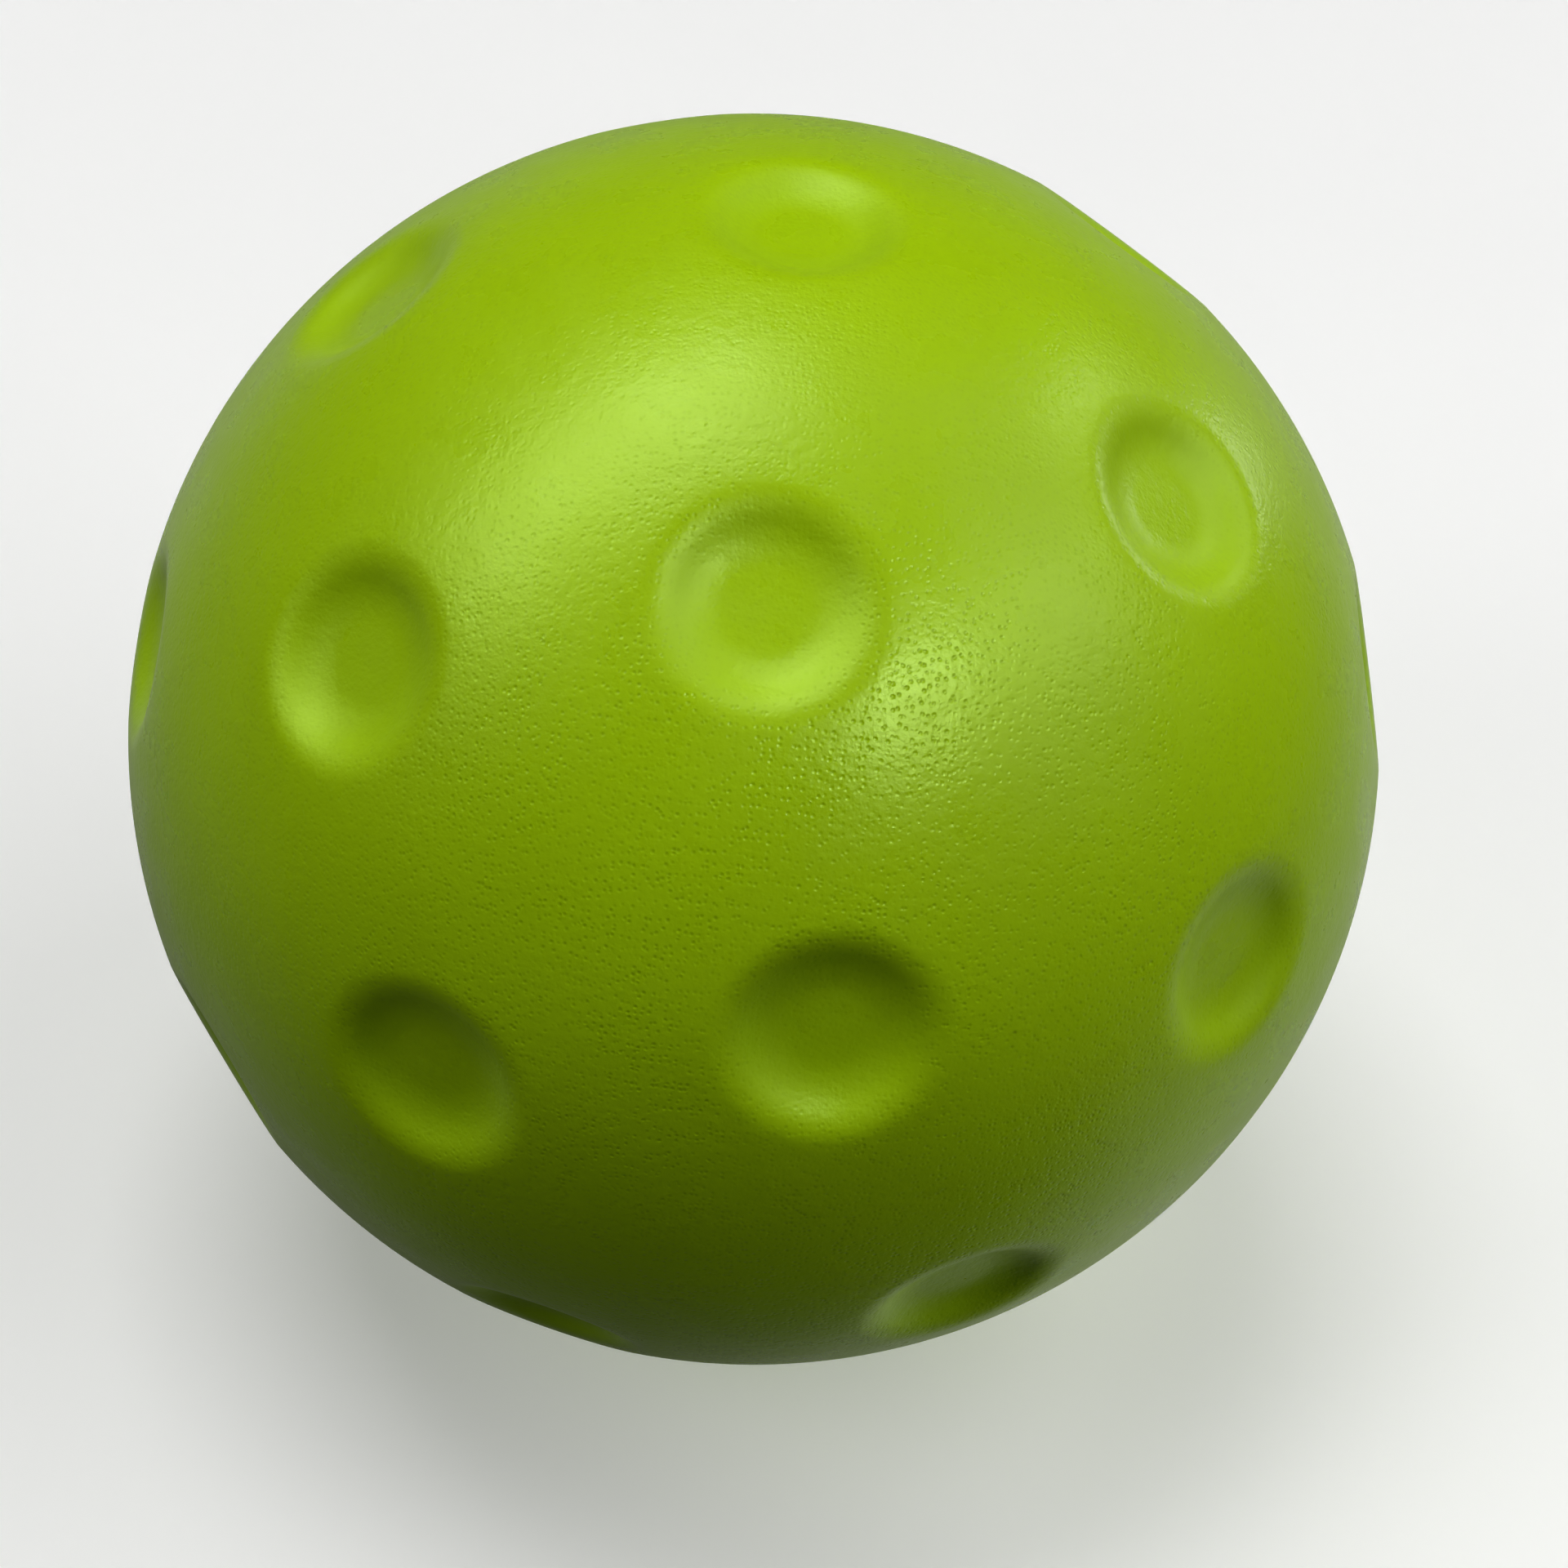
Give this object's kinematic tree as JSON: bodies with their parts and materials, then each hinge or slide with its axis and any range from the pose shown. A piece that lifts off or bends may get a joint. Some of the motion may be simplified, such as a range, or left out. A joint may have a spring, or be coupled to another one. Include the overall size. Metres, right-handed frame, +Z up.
{
  "type": "foam pickleball",
  "caption": "Lime-green foam pickleball: a round ball of soft cellular foam in a dense satin skin with a pattern of shallow round dimples, for quiet play and practice.",
  "frame": {"origin": "centre of the ball", "axes": "+Z up as the ball rests on a table, through the centres of the dimple it stands on and the opposite one; -Y towards the viewer of the picture"},
  "size_m": [0.074, 0.074, 0.073],
  "materials": {
    "skin_foam": "satin",
    "core_foam": "matte"
  },
  "bodies": {
    "root": {"skin": "skin_foam", "foam_core": "core_foam"}
  },
  "joints": []
}
